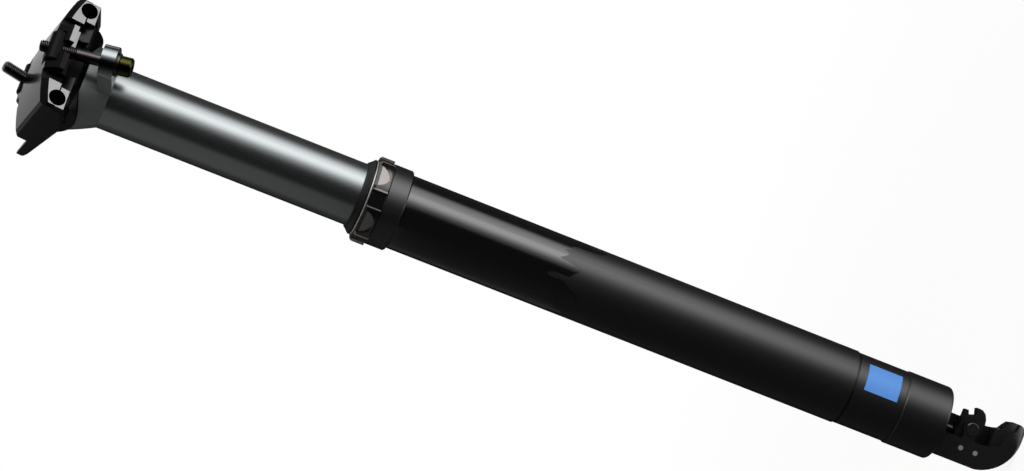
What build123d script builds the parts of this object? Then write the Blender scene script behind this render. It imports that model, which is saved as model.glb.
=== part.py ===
from build123d import *
from math import cos, radians, sin
import os

os.makedirs("parts", exist_ok=True)

# Height-adjustable bicycle seatpost. The origin is on the post's axis at the tube's shoulder under
# the collar, where the seat tube of the frame ends. +Z runs up the post to the saddle, +X is the
# front of the bicycle and +Y its left. Millimetres.

# Clearances
running_fit = 0.03          # radial, on bushings, pistons and seal lips
slide_gap = 0.3             # between pieces that pass each other without touching
key_gap = 0.15              # between a key and its groove

# Stanchion and outer tube
travel = 100.0
stanchion_d = 26.6
stanchion_wall = 1.7
stanchion_top = 127.2
stanchion_bottom = -86.0
tube_d = 31.6
tube_wall = 1.8
tube_bottom = -199.7
tube_edge = 0.5

# Collar, nut and wiper
collar_d = 34.6
collar_height = 9.0
collar_gap = 0.3            # between the tube's shoulder and the collar's underside
nut_d = 36.6
nut_height = 6.2
nut_flats = 5
nut_across = 33.6           # twice the distance from the axis to a flat
nut_flat_r = 5.7            # of the cutter that sinks a flat from the nut's top
nut_turn = 7.0              # degrees from +X to the middle of the first flat
nut_slot_width = 7.2        # of the spanner slots between the flats
nut_slot_depth = 1.3
spigot_d = 30.4
spigot_height = 3.0
wire_d = 0.8
wire_ring_d = 31.8
wiper_height = 3.8
wiper_foot_d = 32.2
wiper_tip_d = 27.9
wiper_lip = 1.0
foam_height = 3.0
bushing_wall = 1.1
upper_bushing_length = 28.0
lower_bushing_length = 18.0

# Anti-rotation keys
key_count = 3
key_width = 2.0
key_length = 14.0
key_pocket = 0.5
key_proud = 1.1

# Foot of the post
sleeve_d = 30.8
sleeve_height = 22.2
sleeve_spigot = 9.0
groove_height = 0.5
cap_height = 20.6
cap_round = 2.0
cap_edge = 0.9
cap_floor = 6.0
rod_seat = 2.0              # of the cap's floor left under the cartridge rod
foot_bore_d = 22.0
label_height = 14.8
label_top_gap = 4.2
label_arc = 47.0            # degrees round the sleeve
label_middle = -3.0         # degrees from +X to the middle of the label
label_thick = 0.15

# Gas cartridge
cylinder_d = 20.0
cylinder_wall = 1.4
cylinder_top = 96.0
rod_d = 9.0
rod_bore_d = 3.6
valve_rod_d = 3.0
piston_length = 10.0
piston_seal_d = 1.8
seal_head_length = 13.0
top_cap_length = 9.0
top_out_gap = 0.4
floating_piston_length = 11.0
floating_piston_rise = 28.0 # of its middle over the collar's underside
end_nut_length = 4.0
bumper_length = 4.0

# Head
neck_d = 26.8
neck_height = 11.4
head_half_width = 20.5
head_half_length = 13.4
head_top = 144.0
head_depth = 8.6            # of the saddle block's top under the rocking axis
head_clear_x = 12.4
head_spigot_length = 22.0
lug_half_width = 7.0
lug_thick = 6.0
lug_reach = 17.0            # from the bolt back into the neck
lug_cut_over = 16.0         # clear way for the bolt over its seat
lug_cut_under = 12.0        # and for its head under the lug
beyond = 30.0               # past any piece of the head, for cuts right through

# Saddle clamp: it rocks about an axis along Y, level with the rails
rail_d = 7.0
rail_spacing = 44.0
rail_fit = 0.05
clamp_tilt = 9.0            # degrees, nose down
clamp_x = 3.0
clamp_z = 149.3
clamp_half_width = 27.0
clamp_front = 17.3
upper_clamp_back = 15.0
cradle_back = 25.5
cradle_floor = 4.5
wing_depth = 8.6
wing_inner = 21.2
rocker_r = 13.0
clamp_side_height = 5.6
clamp_ridge = 9.8
clamp_chamfer = 2.5
clamp_corner = 1.2          # broken off the end faces' outer corners
clamp_recess = 3.2          # of the upper clamp's end faces beside each nose
clamp_pad = 15.2            # from the middle to the end face round each rail
cradle_recess = 1.4         # of the cradle's front edge between the rails, at its foot
cradle_recess_lean = 2.4    # more of it at the top
cradle_recess_half_width = 16.8
clamp_nose_x = 20.7
clamp_nose_half_width = 10.8
clamp_nose_under = 2.0
clamp_nose_face = 2.2       # height of the upright strip under its slope
notch_half_width = 9.0
notch_x = 11.4
bolt_way_x = 9.0            # room for each bolt outside the cradle's middle
clamp_split = 0.6
clamp_lip = 1.4             # width of the upper clamp's lips, which close the split outboard
clamp_lip_gap = 0.05

# Clamp bolts and barrel nuts
bolt_d = 5.0
bolt_length = 33.0
bolt_head_d = 8.2
bolt_head_height = 5.2
hex_key = 4.0
hex_depth = 2.6
front_splay = 12.9          # degrees from the post's axis
rear_splay = 19.2
front_tip_out = 6.8         # bolt tip past the middle of its nut
rear_tip_out = 12.7
nut_x = 14.9
nut_z = 6.7
barrel_d = 7.6
barrel_length = 14.0
barrel_gap = 0.5
tip_slot_x = 9.4            # inner end of the slot over the nut, for the bolt's tip
washer_d = 9.6
washer_thick = 1.2
seat_gap = 0.2              # lets a bolt swing on its washer as the clamp tilts

# Cable actuator under the foot
actuator_clock = 56.9       # degrees from +X to the side where the cable runs
cheek_thick = 2.3
fork_gap = 6.4
fork_depth = 22.4
bracket_edge = -12.4
bracket_drop = 2.7          # from the end cap down to the level that the sizes below start from
bracket_length = 31.5
pin_d = 2.1
pin_across = -6.0
pin_down = (8.2, 14.8)
pivot_d = 3.0
pivot_across = 2.9
pivot_down = 9.9
boss_d = 5.4
boss_web = 0.9              # of the near cheek left round the boss
lever_thick = 5.8
nose_r = 3.0
pin_head = 1.0
tang_length = 20.3
tang_half_width = 2.9
cable_across = 7.6
housing_d = 5.0
housing_fit = 0.1
housing_depth = 5.0
cable_d = 1.6
cable_way = 10.0            # slot that lets the cable into the hook from the side
lever_slot_down = 23.5      # lower end of the lever's cable slot
lever_slot_across = 7.7
valve_out = 6.3             # of the valve rod under the end cap

# Places worked out from the sizes above
tube_r = tube_d / 2
tube_bore_r = tube_r - tube_wall
stanchion_r = stanchion_d / 2
stanchion_bore_r = stanchion_r - stanchion_wall
bushing_bore_r = stanchion_r + running_fit
bushing_r = bushing_bore_r + bushing_wall
nut_top = collar_height + nut_height
spigot_top = collar_height + spigot_height
upper_bushing_bottom = collar_height - foam_height - upper_bushing_length
lower_bushing_bottom = stanchion_bottom + end_nut_length
lower_bushing_top = lower_bushing_bottom + lower_bushing_length
key_bottom = lower_bushing_top + 0.5
sleeve_bottom = tube_bottom - sleeve_height
cap_bottom = sleeve_bottom - cap_height
cylinder_r = cylinder_d / 2
cylinder_bore_r = cylinder_r - cylinder_wall
seal_head_top = stanchion_bottom + end_nut_length + seal_head_length
piston_bottom = seal_head_top + bumper_length + top_out_gap
tilt = radians(clamp_tilt)
clamp_origin = Vector(clamp_x, 0, clamp_z)
clamp_x_dir = Vector(cos(tilt), 0, -sin(tilt))
clamp_z_dir = Vector(sin(tilt), 0, cos(tilt))
clamp_side = Plane(origin=clamp_origin, x_dir=clamp_x_dir, z_dir=(0, -1, 0))
clamp_end = Plane(origin=clamp_origin, x_dir=(0, 1, 0), z_dir=clamp_x_dir)
clamp_plan = Plane(origin=clamp_origin, x_dir=clamp_x_dir, z_dir=clamp_z_dir)
rail_groove_r = rail_d / 2 + rail_fit
barrel_r = barrel_d / 2


def nut_middle(side):
    """Middle of a barrel nut: side is 1 at the front and -1 at the rear."""
    return clamp_origin + clamp_x_dir * (side * nut_x) + clamp_z_dir * nut_z


def bolt_plane(side, below_nut=0.0):
    """Plane square to a clamp bolt, its normal towards the tip, so far below the nut's middle."""
    splay = radians(front_splay) if side > 0 else -radians(rear_splay)
    up = Vector(-sin(splay), 0, cos(splay))
    return Plane(origin=nut_middle(side) - up * below_nut, x_dir=(0, 1, 0), z_dir=up)


def seat_below_nut(side):
    """Distance from the middle of a barrel nut down to the washer under the bolt's head."""
    return bolt_length - (front_tip_out if side > 0 else rear_tip_out)


clock = radians(actuator_clock)
across_dir = Vector(cos(clock), sin(clock), 0)
actuator_face = Plane(origin=(0, 0, cap_bottom - bracket_drop), x_dir=(0, 0, -1), z_dir=(sin(clock), -cos(clock), 0))
cheek_outer = fork_gap / 2 + cheek_thick


def sleeve_part(outer_r, inner_r, bottom, top, edge=0.0):
    """A plain turned sleeve with its outer edges broken."""
    with BuildPart() as sleeve:
        with BuildSketch(Plane.XY.offset(bottom)):
            Circle(outer_r)
            if inner_r > 0:
                Circle(inner_r, mode=Mode.SUBTRACT)
        extrude(amount=top - bottom)
        if edge > 0:
            rims = sleeve.edges().filter_by(GeomType.CIRCLE)
            chamfer([rim for rim in rims if abs(rim.radius - outer_r) < 1e-6], edge)
    return sleeve.part


def keep(part, name):
    """Label a finished piece and write it."""
    part.label = name
    export_step(part, f"parts/{name}.step")


# Outer tube: it slides into the frame, and the collar, the nut and the upper bushing sit on its top.
# Grooves down its bore guide the keys.
groove_r = stanchion_r + key_proud + slide_gap
groove_bottom = key_bottom - travel - 4.0
groove_top = upper_bushing_bottom - 4.0
with BuildPart() as outer_tube:
    with BuildSketch(Plane.XY.offset(tube_bottom)):
        Circle(tube_r)
    extrude(amount=-tube_bottom)
    with BuildSketch(Plane.XY):
        Circle(spigot_d / 2)
    extrude(amount=spigot_top)
    with BuildSketch(Plane.XY.offset(tube_bottom)):
        Circle(tube_bore_r)
    extrude(amount=spigot_top - tube_bottom, mode=Mode.SUBTRACT)
    with BuildSketch(Plane.XY.offset(upper_bushing_bottom)):
        Circle(bushing_r)
    extrude(amount=spigot_top - upper_bushing_bottom, mode=Mode.SUBTRACT)
    with BuildSketch(Plane.XY.offset(groove_bottom)):
        with PolarLocations(groove_r / 2, key_count):
            Rectangle(groove_r, key_width + 2 * key_gap)
    extrude(amount=groove_top - groove_bottom, mode=Mode.SUBTRACT)
    rims = outer_tube.faces().sort_by(Axis.Z)[0].edges()
    chamfer(rims.sort_by(SortBy.RADIUS)[-1], tube_edge)
keep(outer_tube.part, "outer_tube")

# Collar: a smooth ring bonded round the tube's spigot, the stop that rests on the seat tube. A narrow
# groove parts it from the tube's shoulder.
collar = sleeve_part(collar_d / 2, spigot_d / 2, collar_gap, collar_height, tube_edge)
keep(collar, "collar")

# Collar nut: screwed over the tube's spigot. Slots round it take a hook spanner, with a sunk flat
# between each two, and its bore holds the wiper.
nut_r = nut_d / 2
wiper_bore_r = bushing_bore_r + 1.3
with BuildPart() as collar_nut:
    with BuildSketch(Plane.XY.offset(collar_height)):
        Circle(nut_r)
    extrude(amount=nut_height)
    chamfer(collar_nut.edges().group_by(Axis.Z)[-1], 0.7)
    with BuildSketch(Plane.XY.offset(collar_height)):
        Circle(spigot_d / 2)
    extrude(amount=spigot_height, mode=Mode.SUBTRACT)
    with BuildSketch(Plane.XY.offset(collar_height)):
        Circle(wiper_bore_r)
    extrude(amount=nut_height, mode=Mode.SUBTRACT)
    with BuildSketch(Plane.XY.offset(collar_height)):
        with PolarLocations(nut_r, nut_flats, start_angle=nut_turn + 180 / nut_flats):
            Rectangle(2 * nut_slot_depth, nut_slot_width)
    extrude(amount=nut_height, mode=Mode.SUBTRACT)
    for turn in range(nut_flats):
        way = radians(nut_turn + 360 * turn / nut_flats)
        out = Vector(cos(way), sin(way), 0)
        with BuildSketch(Plane(origin=out * nut_across / 2 + Vector(0, 0, nut_top), z_dir=out)):
            Circle(nut_flat_r)
        extrude(amount=nut_r, mode=Mode.SUBTRACT)
keep(collar_nut.part, "collar_nut")

# Wire ring: a bright round wire that holds the wiper's foot down on the nut.
with BuildPart() as wiper_ring:
    with BuildSketch(Plane.XZ):
        with Locations((wire_ring_d / 2 - wire_d / 2, nut_top + wire_d / 2)):
            Circle(wire_d / 2)
    revolve(axis=Axis.Z)
keep(wiper_ring.part, "wiper_ring")

# Wiper: moulded rubber. Its foot is on the nut, its skirt in the nut's bore, and its lip on the
# stanchion.
wiper_top = nut_top + wiper_height
wire_inner_r = wire_ring_d / 2 - wire_d
relief_r = bushing_bore_r + 0.6
with BuildPart() as wiper_seal:
    with BuildSketch(Plane.XZ):
        with BuildLine():
            Polyline((wiper_bore_r, spigot_top + 0.4), (wiper_bore_r, nut_top), (wire_inner_r, nut_top),
                     (wire_inner_r, nut_top + wire_d), (wiper_foot_d / 2, nut_top + wire_d),
                     (wiper_foot_d / 2, nut_top + 1.4), (wiper_tip_d / 2 + 0.7, wiper_top - 0.9),
                     (wiper_tip_d / 2, wiper_top), (bushing_bore_r, wiper_top),
                     (bushing_bore_r, wiper_top - wiper_lip), (relief_r, wiper_top - wiper_lip - 0.5),
                     (relief_r, spigot_top + 0.4), close=True)
        make_face()
    revolve(axis=Axis.Z)
keep(wiper_seal.part, "wiper_seal")

# Foam ring: holds oil for the stanchion, over the upper bushing.
upper_bushing_top = upper_bushing_bottom + upper_bushing_length
foam = sleeve_part(bushing_r, bushing_bore_r + 0.3, upper_bushing_top, upper_bushing_top + foam_height)
keep(foam, "foam_ring")

# Bushings: the upper one sits in the tube, and the lower one runs with the stanchion.
keep(sleeve_part(bushing_r, bushing_bore_r, upper_bushing_bottom, upper_bushing_top), "upper_bushing")
lower_bushing_r = tube_bore_r - running_fit
keep(sleeve_part(lower_bushing_r, stanchion_r, lower_bushing_bottom, lower_bushing_top, 0.3),
     "lower_bushing")

# Foot sleeve: a short turned length of smaller diameter, pressed into the tube's lower end. The
# label is wrapped round it, between two grooves.
with BuildPart() as foot_sleeve:
    with BuildSketch(Plane.XY.offset(sleeve_bottom)):
        Circle(sleeve_d / 2)
    extrude(amount=sleeve_height - groove_height)
    with BuildSketch(Plane.XY.offset(tube_bottom - groove_height)):
        Circle(sleeve_d / 2 - 0.6)
    extrude(amount=groove_height)
    with BuildSketch(Plane.XY.offset(tube_bottom)):
        Circle(tube_bore_r)
    extrude(amount=sleeve_spigot)
    with BuildSketch(Plane.XY.offset(sleeve_bottom)):
        Circle(foot_bore_d / 2)
    extrude(amount=sleeve_height + sleeve_spigot, mode=Mode.SUBTRACT)
keep(foot_sleeve.part, "foot_sleeve")

# Label: a plain foil patch on the sleeve.
label_top = tube_bottom - label_top_gap
with BuildPart() as foot_label:
    with BuildSketch(Plane.XZ):
        with Locations((sleeve_d / 2 + label_thick / 2, label_top - label_height / 2)):
            Rectangle(label_thick, label_height)
    revolve(axis=Axis.Z, revolution_arc=label_arc)
turn = label_middle - label_arc / 2
keep(foot_label.part.rotate(Axis.Z, turn), "foot_label")

# End cap: closes the foot, with a rounded lower edge. The cartridge rod screws into its floor.
rod_r = rod_d / 2
boss_r = rod_r + 3.5
with BuildPart() as end_cap:
    with BuildSketch(Plane.XY.offset(cap_bottom)):
        Circle(tube_r)
    extrude(amount=cap_height)
    fillet(end_cap.edges().group_by(Axis.Z)[0], cap_round)
    chamfer(end_cap.edges().group_by(Axis.Z)[-1], cap_edge)
    with BuildSketch(Plane.XY.offset(cap_bottom + cap_floor)):
        Circle(foot_bore_d / 2)
        Circle(boss_r, mode=Mode.SUBTRACT)
    extrude(amount=cap_height - cap_floor, mode=Mode.SUBTRACT)
    with BuildSketch(Plane.XY.offset(cap_bottom + rod_seat)):
        Circle(rod_r)
    extrude(amount=cap_height, mode=Mode.SUBTRACT)
    with BuildSketch(Plane.XY.offset(cap_bottom)):
        Circle(valve_rod_d / 2 + slide_gap)
    extrude(amount=rod_seat, mode=Mode.SUBTRACT)
    with BuildSketch(actuator_face):
        with Locations((tang_length / 2 - bracket_drop, pin_across)):
            Rectangle(tang_length, 2 * tang_half_width)
        with Locations(*[(down, pin_across) for down in pin_down]):
            Circle(pin_d / 2, mode=Mode.SUBTRACT)
    extrude(amount=fork_gap / 2, both=True)
keep(end_cap.part, "end_cap")

# Cartridge rod: stands on the end cap and carries the piston. The valve rod runs down its bore.
rod_bottom = cap_bottom + rod_seat
rod = sleeve_part(rod_r, rod_bore_d / 2, rod_bottom, piston_bottom + piston_length)
keep(rod, "cartridge_rod")

# Piston with a groove for its seal ring.
seal_mid = piston_bottom + piston_length / 2
piston_r = cylinder_bore_r - running_fit
seal_groove_r = piston_r - 1.4
with BuildPart() as piston:
    with BuildSketch(Plane.XY.offset(piston_bottom)):
        Circle(piston_r)
    extrude(amount=piston_length)
    with BuildSketch(Plane.XY.offset(seal_mid - piston_seal_d / 2)):
        Circle(piston_r + 1)
        Circle(seal_groove_r, mode=Mode.SUBTRACT)
    extrude(amount=piston_seal_d, mode=Mode.SUBTRACT)
    with BuildSketch(Plane.XY.offset(piston_bottom)):
        Circle(rod_r)
    extrude(amount=piston_length, mode=Mode.SUBTRACT)
keep(piston.part, "piston")
keep(sleeve_part(piston_r, seal_groove_r, seal_mid - piston_seal_d / 2, seal_mid + piston_seal_d / 2),
     "piston_seal")

# Valve rod: from the tip that the lever presses, up the rod's bore to the valve in the piston.
valve_tip = cap_bottom - valve_out
valve_top = piston_bottom + piston_length - 2.0
with BuildPart() as valve_rod:
    with BuildSketch(Plane.XY.offset(valve_tip)):
        Circle(valve_rod_d / 2)
    extrude(amount=valve_top - valve_tip)
    fillet(valve_rod.edges().group_by(Axis.Z)[0], 0.8)
keep(valve_rod.part, "valve_rod")

# Stanchion: the polished tube that slides, with pockets for the keys near its lower end.
with BuildPart() as stanchion:
    with BuildSketch(Plane.XY.offset(stanchion_bottom)):
        Circle(stanchion_r)
        Circle(stanchion_bore_r, mode=Mode.SUBTRACT)
    extrude(amount=stanchion_top - stanchion_bottom)
    with BuildSketch(Plane.XY.offset(key_bottom)):
        with PolarLocations(stanchion_r, key_count):
            Rectangle(2 * key_pocket, key_width)
    extrude(amount=key_length, mode=Mode.SUBTRACT)
keep(stanchion.part, "stanchion")

# Keys: brass bars in the stanchion's pockets that stop the saddle from turning.
key_r = stanchion_r - key_pocket
key_reach = key_pocket + key_proud
with BuildPart() as anti_rotation_keys:
    with BuildSketch(Plane.XY.offset(key_bottom)):
        with PolarLocations(key_r + key_reach / 2, key_count):
            Rectangle(key_reach, key_width)
    extrude(amount=key_length)
keep(anti_rotation_keys.part, "anti_rotation_keys")

# Cartridge: a closed cylinder hung in the stanchion from its top cap, and held by the end nut.
keep(sleeve_part(cylinder_r, cylinder_bore_r, seal_head_top - 6.0, cylinder_top), "cartridge_cylinder")
head_spigot_bottom = stanchion_top - head_spigot_length
with BuildPart() as cartridge_top_cap:
    with BuildSketch(Plane.XY.offset(cylinder_top - top_cap_length)):
        Circle(cylinder_bore_r)
    extrude(amount=top_cap_length)
    with BuildSketch(Plane.XY.offset(cylinder_top)):
        Circle(cylinder_r)
    extrude(amount=head_spigot_bottom - cylinder_top)
keep(cartridge_top_cap.part, "cartridge_top_cap")

# Seal head: closes the cartridge's lower end round the rod.
seal_head_bottom = stanchion_bottom + end_nut_length
rod_hole_r = rod_r + running_fit
with BuildPart() as seal_head:
    with BuildSketch(Plane.XY.offset(seal_head_bottom)):
        Circle(cylinder_r)
    extrude(amount=seal_head_length - 6.0)
    with BuildSketch(Plane.XY.offset(seal_head_top - 6.0)):
        Circle(cylinder_bore_r)
    extrude(amount=6.0)
    with BuildSketch(Plane.XY.offset(seal_head_bottom)):
        Circle(rod_hole_r)
    extrude(amount=seal_head_length, mode=Mode.SUBTRACT)
    with BuildSketch(Plane.XY.offset(seal_head_bottom)):
        Circle(rod_r + 2.2)
    extrude(amount=3.0, mode=Mode.SUBTRACT)
keep(seal_head.part, "seal_head")
keep(sleeve_part(rod_r + 2.2, rod_hole_r, seal_head_bottom, seal_head_bottom + 3.0), "rod_seal")
keep(sleeve_part(cylinder_bore_r - slide_gap, rod_r + slide_gap, seal_head_top,
                 seal_head_top + bumper_length), "top_out_bumper")

# End nut: screwed into the stanchion's lower end, under the cartridge.
keep(sleeve_part(stanchion_bore_r, rod_r + 1.5, stanchion_bottom, stanchion_bottom + end_nut_length),
     "end_nut")

# Floating piston: parts the gas over it from the oil under it.
floating_bottom = floating_piston_rise - floating_piston_length / 2
with BuildPart() as floating_piston:
    with BuildSketch(Plane.XY.offset(floating_bottom)):
        Circle(piston_r)
    extrude(amount=floating_piston_length)
    with BuildSketch(Plane.XY.offset(floating_bottom + 3.0)):
        Circle(piston_r - 3.0)
    extrude(amount=floating_piston_length, mode=Mode.SUBTRACT)
    with BuildSketch(Plane.XY.offset(floating_piston_rise - piston_seal_d / 2)):
        Circle(piston_r + 1)
        Circle(seal_groove_r, mode=Mode.SUBTRACT)
    extrude(amount=piston_seal_d, mode=Mode.SUBTRACT)
keep(floating_piston.part, "floating_piston")
keep(sleeve_part(piston_r, seal_groove_r, floating_piston_rise - piston_seal_d / 2,
                 floating_piston_rise + piston_seal_d / 2), "floating_piston_seal")

# Head: forged and bonded over the stanchion. Its neck flares to a saddle block with a hollow for
# the cradle's rocker, and a lug at the front and the rear holds each clamp bolt.
neck_top = stanchion_top + neck_height
with BuildPart() as head:
    with BuildSketch(Plane.XY.offset(stanchion_top)):
        Circle(neck_d / 2)
    with BuildSketch(Plane.XY.offset(stanchion_top + neck_height * 0.3)):
        Ellipse(neck_d / 2, neck_d / 2 + 2.4)
    with BuildSketch(Plane.XY.offset(neck_top)):
        Ellipse(head_half_length, head_half_width)
    loft()
    with BuildSketch(Plane.XY.offset(neck_top)):
        Ellipse(head_half_length, head_half_width)
    extrude(amount=head_top - neck_top)
    for side in (1, -1):
        with BuildSketch(bolt_plane(side, seat_below_nut(side) - washer_thick)):
            with Locations((0, side * lug_reach / 2)):
                Rectangle(2 * lug_half_width, lug_reach)
            Circle(lug_half_width)
        extrude(amount=lug_thick)
    with BuildSketch(clamp_side):
        with Locations((0, beyond / 2 - head_depth)):
            Rectangle(2 * head_clear_x, beyond)
        Circle(rocker_r + slide_gap)
    extrude(amount=beyond, both=True, mode=Mode.SUBTRACT)
    with BuildSketch(Plane.XY.offset(stanchion_top)):
        Circle(2 * head_half_width)
    extrude(amount=-head_spigot_length, mode=Mode.SUBTRACT)
    with BuildSketch(Plane.XY.offset(head_spigot_bottom)):
        Circle(stanchion_bore_r)
    extrude(amount=head_spigot_length)
    for side in (1, -1):
        with BuildSketch(bolt_plane(side, seat_below_nut(side))):
            Circle(bolt_d / 2 + slide_gap)
        extrude(amount=lug_cut_over, mode=Mode.SUBTRACT)
        with BuildSketch(bolt_plane(side, seat_below_nut(side) - washer_thick)):
            Circle(washer_d / 2 + 0.8)
        extrude(amount=-lug_cut_under, mode=Mode.SUBTRACT)
keep(head.part, "head")

# Lower cradle: rocks on the head. Its floor carries a round rocker under the middle and a deep wing
# at each side, and a half-round groove along each wing takes a saddle rail.
nut_slot = bolt_d / 2 + barrel_gap
with BuildPart() as lower_cradle:
    with BuildSketch(clamp_side):
        with BuildLine():
            Polyline((clamp_front, -clamp_split / 2), (clamp_front, -3.9), (5.5, -wing_depth),
                     (1.5 - cradle_back, -4.4), (-cradle_back, -2.6), (-cradle_back, -clamp_split / 2),
                     close=True)
        make_face()
    extrude(amount=clamp_half_width, both=True)
    with BuildSketch(clamp_side):
        with Locations((0, -cradle_floor - beyond / 2)):
            Rectangle(4 * cradle_back, beyond)
    extrude(amount=wing_inner, both=True, mode=Mode.SUBTRACT)
    with BuildSketch(clamp_side):
        with BuildLine():
            ThreePointArc((-rocker_r, 0), (0, -rocker_r), (rocker_r, 0))
            Line((rocker_r, 0), (-rocker_r, 0))
        make_face()
        with Locations((0, beyond / 2 - clamp_split / 2)):
            Rectangle(4 * rocker_r, beyond, mode=Mode.SUBTRACT)
    extrude(amount=head_half_width - 0.5, both=True)
    outer_edges = lower_cradle.edges().filter_by(Axis.Y, reverse=True).filter_by(
        lambda e: abs(abs(e.center().Y) - clamp_half_width) < 1e-3 and e.center().Z < clamp_z - 3)
    chamfer(outer_edges, 1.0)
    corners = lower_cradle.edges().filter_by(Axis(clamp_origin, clamp_z_dir)).filter_by(
        lambda e: abs(abs(e.center().Y) - clamp_half_width) < 1e-3 and e.center().X > clamp_x)
    chamfer(corners, clamp_corner)
    with BuildSketch(clamp_end):
        with GridLocations(rail_spacing, 1, 2, 1):
            Circle(rail_groove_r)
    extrude(amount=2 * cradle_back, both=True, mode=Mode.SUBTRACT)
    with BuildSketch(clamp_plan):
        for side in (1, -1):
            with Locations((side * (notch_x + beyond / 2), 0)):
                Rectangle(beyond, 2 * notch_half_width)
    extrude(amount=beyond, both=True, mode=Mode.SUBTRACT)
    with BuildSketch(clamp_side):
        with BuildLine():
            Polyline((clamp_front - cradle_recess, -cradle_floor),
                     (clamp_front - cradle_recess - cradle_recess_lean, 0), (2 * clamp_front, 0),
                     (2 * clamp_front, -cradle_floor), close=True)
        make_face()
    extrude(amount=cradle_recess_half_width, both=True, mode=Mode.SUBTRACT)
    for side in (1, -1):
        with BuildSketch(bolt_plane(side, barrel_r + slide_gap)):
            with Locations((0, -side * bolt_way_x / 2)):
                Rectangle(2 * nut_slot + 1, bolt_way_x + bolt_d + 1)
        extrude(amount=-beyond, mode=Mode.SUBTRACT)
keep(lower_cradle.part, "lower_cradle")

# Upper clamp: an arched cap over both rails. A trough near each end holds a barrel nut, and a slot
# under it lets the bolt through at every tilt.


def arch_face(half_width, under):
    """Section of the upper clamp across the rails, no wider than given, over a flat underside."""
    side_x = clamp_half_width
    with BuildSketch(Plane.XY) as section:
        with BuildLine():
            arch = ThreePointArc((side_x - 1.6, clamp_side_height), (0, clamp_ridge),
                                 (1.6 - side_x, clamp_side_height))
            lip_x = side_x - clamp_lip
            lip_z = clamp_lip_gap - clamp_split / 2
            Polyline(arch @ 1, (-side_x, clamp_side_height - 1.2), (-side_x, lip_z), (-lip_x, lip_z),
                     (-lip_x, clamp_split / 2), (lip_x, clamp_split / 2), (lip_x, lip_z),
                     (side_x, lip_z), (side_x, clamp_side_height - 1.2), arch @ 0)
        make_face()
        with Locations((0, under + clamp_ridge)):
            Rectangle(2 * half_width, 2 * clamp_ridge, mode=Mode.INTERSECT)
    return section.sketch


trough_r = barrel_r + barrel_gap
with BuildPart() as upper_clamp:
    with BuildSketch(clamp_end.offset(-upper_clamp_back)):
        add(arch_face(clamp_half_width, -clamp_split))
    extrude(amount=upper_clamp_back + clamp_front)
    for end in (Axis(clamp_origin, clamp_x_dir), Axis(clamp_origin, -clamp_x_dir)):
        crown = upper_clamp.faces().sort_by(end)[-1].edges().sort_by(Axis(clamp_origin, clamp_z_dir))
        chamfer(crown[-1], clamp_chamfer)
    corners = upper_clamp.edges().filter_by(Axis(clamp_origin, clamp_z_dir)).filter_by(
        lambda e: abs(abs(e.center().Y) - clamp_half_width) < 1e-3)
    chamfer(corners, clamp_corner)
    with BuildSketch(clamp_plan):
        for end_x, way in ((clamp_front, -1), (-upper_clamp_back, 1)):
            with Locations((end_x + way * clamp_recess / 2, (clamp_pad + clamp_nose_half_width) / 2),
                           (end_x + way * clamp_recess / 2, -(clamp_pad + clamp_nose_half_width) / 2)):
                Rectangle(clamp_recess, clamp_pad - clamp_nose_half_width)
    extrude(amount=clamp_ridge, both=True, mode=Mode.SUBTRACT)
    with BuildSketch(clamp_end.offset(-clamp_nose_x)):
        add(arch_face(clamp_nose_half_width, clamp_nose_under))
    extrude(amount=2 * clamp_nose_x)
    slope_foot = clamp_nose_under + clamp_nose_face
    slope_rise = clamp_ridge - slope_foot
    with BuildSketch(clamp_side):
        for side in (1, -1):
            with BuildLine():
                Polyline((side * clamp_nose_x, slope_foot), (side * (clamp_nose_x - slope_rise), clamp_ridge),
                         (side * clamp_nose_x, clamp_ridge), close=True)
            make_face()
    extrude(amount=clamp_nose_half_width, both=True, mode=Mode.SUBTRACT)
    with BuildSketch(clamp_end.offset(-clamp_nose_x)):
        with GridLocations(rail_spacing, 1, 2, 1):
            Circle(rail_groove_r)
    extrude(amount=2 * clamp_nose_x, mode=Mode.SUBTRACT)
    with BuildSketch(clamp_side):
        for side in (1, -1):
            with Locations((side * nut_x, nut_z)):
                Circle(trough_r)
            with Locations((side * nut_x, nut_z + clamp_ridge / 2)):
                Rectangle(2 * trough_r, clamp_ridge)
    extrude(amount=barrel_length / 2 + barrel_gap, both=True, mode=Mode.SUBTRACT)
    with BuildSketch(clamp_plan.offset(-1)):
        for side in (1, -1):
            with Locations((side * (notch_x + beyond / 2), 0)):
                Rectangle(beyond, bolt_d + 2 * barrel_gap)
    extrude(amount=nut_z + 1, mode=Mode.SUBTRACT)
    with BuildSketch(clamp_plan.offset(nut_z)):
        for side in (1, -1):
            with Locations((side * (nut_x + tip_slot_x) / 2, 0)):
                Rectangle(nut_x - tip_slot_x, bolt_d + 2 * barrel_gap)
    extrude(amount=clamp_ridge, mode=Mode.SUBTRACT)
keep(upper_clamp.part, "upper_clamp")

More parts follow.
